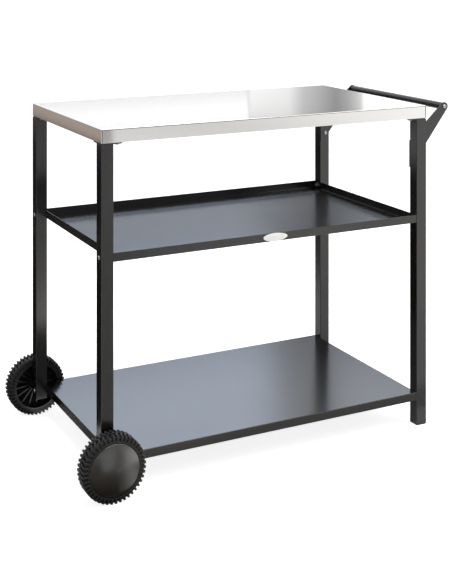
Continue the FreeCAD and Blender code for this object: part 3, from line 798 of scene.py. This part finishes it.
def seen_rays(tree, camera, glossy):
    """How much a surface is lifted for camera rays, and for mirrored and transmitted ones."""
    rays = add_node(tree, "ShaderNodeLightPath").outputs
    mirrored = add_node(tree, "ShaderNodeMath", {0: rays["Is Glossy Ray"], 1: rays["Is Transmission Ray"]},
                        operation="MAXIMUM").outputs[0]
    lift = add_node(tree, "ShaderNodeMath", {0: mirrored, 1: glossy}, operation="MULTIPLY").outputs[0]
    return add_node(tree, "ShaderNodeMath", {0: rays["Is Camera Ray"], 1: camera, 2: lift},
                    operation="MULTIPLY_ADD").outputs[0]


# How much the floor's own glow adds for the camera and for mirrored rays, and its half width in metres
FLOOR_CAMERA_LIFT = 0.85
FLOOR_MIRROR_LIFT = 0.2
FLOOR_HALF = 60.0
# The strength of the room's soft light
ROOM_LIGHT = 0.28


def build_floor():
    """A wide pale floor. Its own glow makes it white to the eye, and it still takes the table's shadow."""
    bm = bmesh.new()
    bmesh.ops.create_grid(bm, x_segments=1, y_segments=1, size=FLOOR_HALF)
    mesh = bpy.data.meshes.new("floor")
    bm.to_mesh(mesh)
    bm.free()
    material = bpy.data.materials.new("floor_paper")
    material.use_nodes = True
    tree = material.node_tree
    tree.nodes.clear()
    paper = add_node(tree, "ShaderNodeBsdfDiffuse", {"Color": (0.8, 0.8, 0.8, 1.0)})
    lift = seen_rays(tree, FLOOR_CAMERA_LIFT, FLOOR_MIRROR_LIFT)
    glow = add_node(tree, "ShaderNodeEmission", {"Strength": lift})
    both = add_node(tree, "ShaderNodeAddShader", {0: paper.outputs[0], 1: glow.outputs[0]})
    add_node(tree, "ShaderNodeOutputMaterial", {"Surface": both.outputs[0]})
    mesh.materials.append(material)
    piece = bpy.data.objects.new("floor", mesh)
    bpy.context.scene.collection.objects.link(piece)


def build_room():
    """The white room that the camera and whatever shines see, and the soft light that it gives."""
    world = bpy.data.worlds.new("studio")
    bpy.context.scene.world = world
    world.use_nodes = True
    tree = world.node_tree
    tree.nodes.clear()
    seen = seen_rays(tree, 1.0, 1.0)
    strength = add_node(tree, "ShaderNodeMapRange", {"Value": seen, "To Min": ROOM_LIGHT, "To Max": 1.0})
    background = add_node(tree, "ShaderNodeBackground", {"Color": (1.0, 1.0, 1.0, 1.0),
                                                         "Strength": strength.outputs["Result"]})
    add_node(tree, "ShaderNodeOutputWorld", {"Surface": background.outputs[0]})


def at_bearing(degrees, distance, height):
    """A point this far from the table's middle, at a bearing from straight back towards the right."""
    angle = math.radians(degrees)
    return Vector((math.sin(angle) * distance, math.cos(angle) * distance, height))


def standing_card(name, bearings, distance, heights, colour, strength=1.0):
    """An upright card between two bearings."""
    start, end = (at_bearing(bearing, distance, heights[0]) for bearing in bearings)
    card(name, start, end - start, (0, 0, heights[1] - heights[0]), colour, strength)


class OVEN_TABLE_OT_stage(bpy.types.Operator):
    """Build the camera, lamps, floor, room and reflected cards"""
    bl_idname = "oven_table.stage"
    bl_label = "Stage"

    def execute(self, context):
        context.scene.view_settings.view_transform = "Standard"
        place_camera()
        build_room()
        build_floor()
        middle = (0, 0, 0.5)
        lamp("key_lamp", (2.6, -2.6, 3.3), middle, 2.2, 2.0, 50, "FFF9F2")
        lamp("top_lamp", (0.2, -0.9, 3.8), middle, 2.6, 2.2, 130)
        lamp("back_lamp", at_bearing(12.7, 12.0, 5.4), (0, 0, 0.3), 7.7, 2.6, 134, "D2E4FF")
        lamp("side_lamp", at_bearing(41.0, 12.0, 5.4), (0, 0, 0.3), 3.1, 2.6, 31, "DCEAFF")
        standing_card("far_wall_low", (-25.0, 28.4), 50.5, (0.0, 7.4), "FFFFFF", 0.85)
        standing_card("far_wall_high", (-25.0, 28.4), 50.5, (7.4, 12.0), "FFFFFF", 1.85)
        standing_card("far_wall_grey", (28.4, 34.4), 50.2, (0.0, 12.0), FAR_BAND, 1.25)
        standing_card("far_wall_right", (34.4, 50.0), 50.5, (0.0, 12.0), "FFFFFF", 1.7)
        standing_card("dark_wall_left", (-70.0, -25.2), 12.3, (1.9, 4.1), "3A3D42")
        standing_card("blue_wall_left", (-25.2, 28.6), 12.3, (2.85, 4.1), "637185")
        standing_card("blue_wall_right", (28.6, 62.0), 12.3, (2.85, 4.1), BLUE_BAND)
        standing_card("front_wall", (150.0, 164.0), 12.3, (1.9, 3.2), "6C6E70")
        card("ceiling", (-5.0, -5.0, 8.0), (10.0, 0, 0), (0, 10.0, 0), "8C8C8C")
        card("left_floor_card", (0.31, 0.1, 0.004), (-5.4, 0, 0), (-0.98, 2.3, 0), "2A2622")
        card("back_left_floor_card", (-0.8, 2.4, 0.004), (-5.2, 0, 0), (0, 14.0, 0), "2A2622")
        card("brown_floor_card", (-2.15, 4.15, 0.006), (-0.37, 0, 0), (0, 11.85, 0), "D1C3B8")
        card("tray_end_card", (-1.21, 1.68, 0.006), (0.06, 0, 0), (0, 0.6, 0), "A8A29C")
        card("corner_floor_card", (-6.4, -4.2, 0.004), (2.2, 0, 0), (0, 3.8, 0), "FFFFFF", 2.6)
        card("front_floor_far", (0.9, -6.2, 0.006), (4.2, 0, 0), (0, 2.6, 0), FAR_FLOOR, 1.75)
        card("front_floor_near", (0.9, -3.6, 0.006), (4.2, 0, 0), (0, 2.6, 0), NEAR_FLOOR, 2.05)
        card("front_card", (-1.6, -3.6, 0.15), (2.49, 0, 0), (0, 0, 0.17), "B4B4B4")
        card("leg_floor_card", (-0.41, -0.47, 0.006), (0.935, -2.41, 0), (0.14, 0, 0), LEG_FLOOR)
        card("apron_floor_card", (-0.31, -0.45, 0.006), (1.1, 0, 0), (0, 0.12, 0), "D8D6D2")
        card("shelf_left_card", (-0.55, -0.14, 0.005), (0.09, 0, 0), (0, 0.6, 0), "6C6A68")
        card("right_leg_card", (-0.45, 0.8, 0.44), (0.2, 0, 0), (0, 0, 0.16), "FFFFFF")
        # A glowing patch on the shaded floor under the table: painted light that gives the wheel ribs'
        # edges their highlights
        card("rib_card", (-0.465, 0.1, 0.006), (0.095, 0, 0), (0, 0.16, 0), "FFFFFF", 2.0)
        # These cards paint the near wheel's shadow on the floor under and before it, and the lit floor
        # beside it, for reflections only
        card("wheel_dark_card", (-0.6, -0.31, 0.007), (0, -0.175, 0), (0.21, 0, 0), WHEEL_SHADE)
        card("wheel_left_card", (-0.7, -0.485, 0.007), (0.245, 0, 0), (0, -0.8, 0), "90867E")
        card("wheel_under_card", (-0.53, -0.31, 0.006), (0.16, 0, 0), (0, 0.07, 0), "2A2624")
        card("wheel_near_card", (-0.433, -0.318, 0.008), (0.085, 0, 0), (0.055, -0.127, 0),
             WHEEL_NEAR, 1.2)
        card("wheel_contact_card", (-0.39, -0.305, 0.007), (0.09, 0, 0), (0, -0.04, 0), "5C524A")
        card("wheel_right_card", (-0.345, -0.455, 0.007), (0.25, 0, 0), (0.3, -0.56, 0), WHEEL_RIGHT, 2.6)
        return {"FINISHED"}


class OVEN_TABLE_PT_panel(bpy.types.Panel):
    """Lists the table's operators, sizes and colours"""
    bl_label = "Oven table"
    bl_idname = "OVEN_TABLE_PT_panel"
    bl_space_type = "VIEW_3D"
    bl_region_type = "UI"
    bl_category = "Oven table"

    def draw(self, context):
        for operator in BUILD_ORDER:
            self.layout.operator(operator.bl_idname)
        for group in (context.scene.oven_table_sizes, context.scene.oven_table_colours):
            for name in group.__annotations__:
                self.layout.prop(group, name)


BUILD_ORDER = (OVEN_TABLE_OT_worktop, OVEN_TABLE_OT_steelwork, OVEN_TABLE_OT_handle, OVEN_TABLE_OT_badge,
               OVEN_TABLE_OT_wheels, OVEN_TABLE_OT_stage)
CLASSES = (OvenTableSizes, OvenTableColours, *BUILD_ORDER, OVEN_TABLE_PT_panel)


def register():
    for cls in CLASSES:
        bpy.utils.register_class(cls)
    bpy.types.Scene.oven_table_sizes = PointerProperty(type=OvenTableSizes)
    bpy.types.Scene.oven_table_colours = PointerProperty(type=OvenTableColours)


def unregister():
    del bpy.types.Scene.oven_table_colours
    del bpy.types.Scene.oven_table_sizes
    for cls in reversed(CLASSES):
        bpy.utils.unregister_class(cls)


def main():
    """Registers the classes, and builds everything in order."""
    register()
    for operator in BUILD_ORDER:
        group, name = operator.bl_idname.split(".")
        getattr(getattr(bpy.ops, group), name)()


if __name__ == "__main__":
    main()
